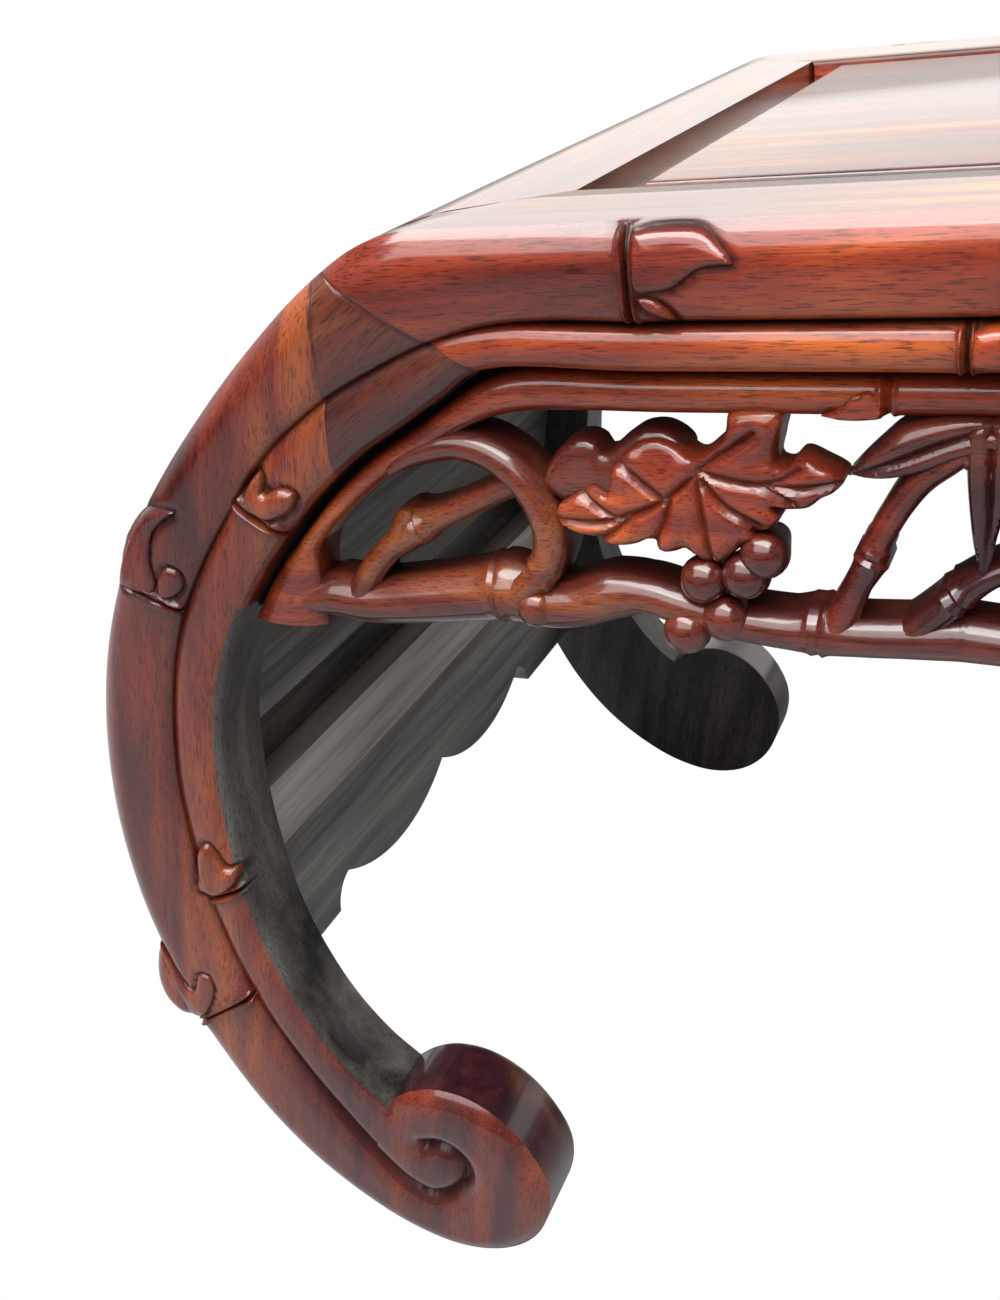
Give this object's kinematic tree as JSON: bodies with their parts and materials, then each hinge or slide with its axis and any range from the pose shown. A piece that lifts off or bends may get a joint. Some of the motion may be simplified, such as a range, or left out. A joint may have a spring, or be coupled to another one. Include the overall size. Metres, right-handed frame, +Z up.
{
  "type": "low table",
  "caption": "Low opium table in polished red-brown hardwood: panelled top with rolled ends, legs curling in to scroll feet, and a pierced frieze of bamboo and vine.",
  "frame": {"origin": "middle of the footprint, on the floor under the four feet", "axes": "+Z up, +X along the long side, front face towards -Y"},
  "size_m": [0.9694, 0.404, 0.4],
  "materials": {
    "frame_wood": "polished red-brown hardwood",
    "top_wood": "polished red-brown hardwood",
    "raw_wood": "unfinished grey-brown wood"
  },
  "bodies": {
    "root": {"back_frieze": "frame_wood", "back_left_leg": "frame_wood", "back_left_leg_block": "frame_wood", "back_rail": "frame_wood", "back_right_leg": "frame_wood", "back_right_leg_block": "frame_wood", "front_frieze": "frame_wood", "front_left_leg": "frame_wood", "front_left_leg_block": "frame_wood", "front_rail": "frame_wood", "front_right_leg": "frame_wood", "front_right_leg_block": "frame_wood", "left_bearer": "raw_wood", "left_end_apron": "frame_wood", "left_end_board": "frame_wood", "left_end_lining": "raw_wood", "left_end_rail": "frame_wood", "left_end_stretcher": "raw_wood", "middle_bearer": "raw_wood", "right_bearer": "raw_wood", "right_end_apron": "frame_wood", "right_end_board": "frame_wood", "right_end_lining": "raw_wood", "right_end_rail": "frame_wood", "right_end_stretcher": "raw_wood", "top_panel": "top_wood"}
  },
  "joints": []
}
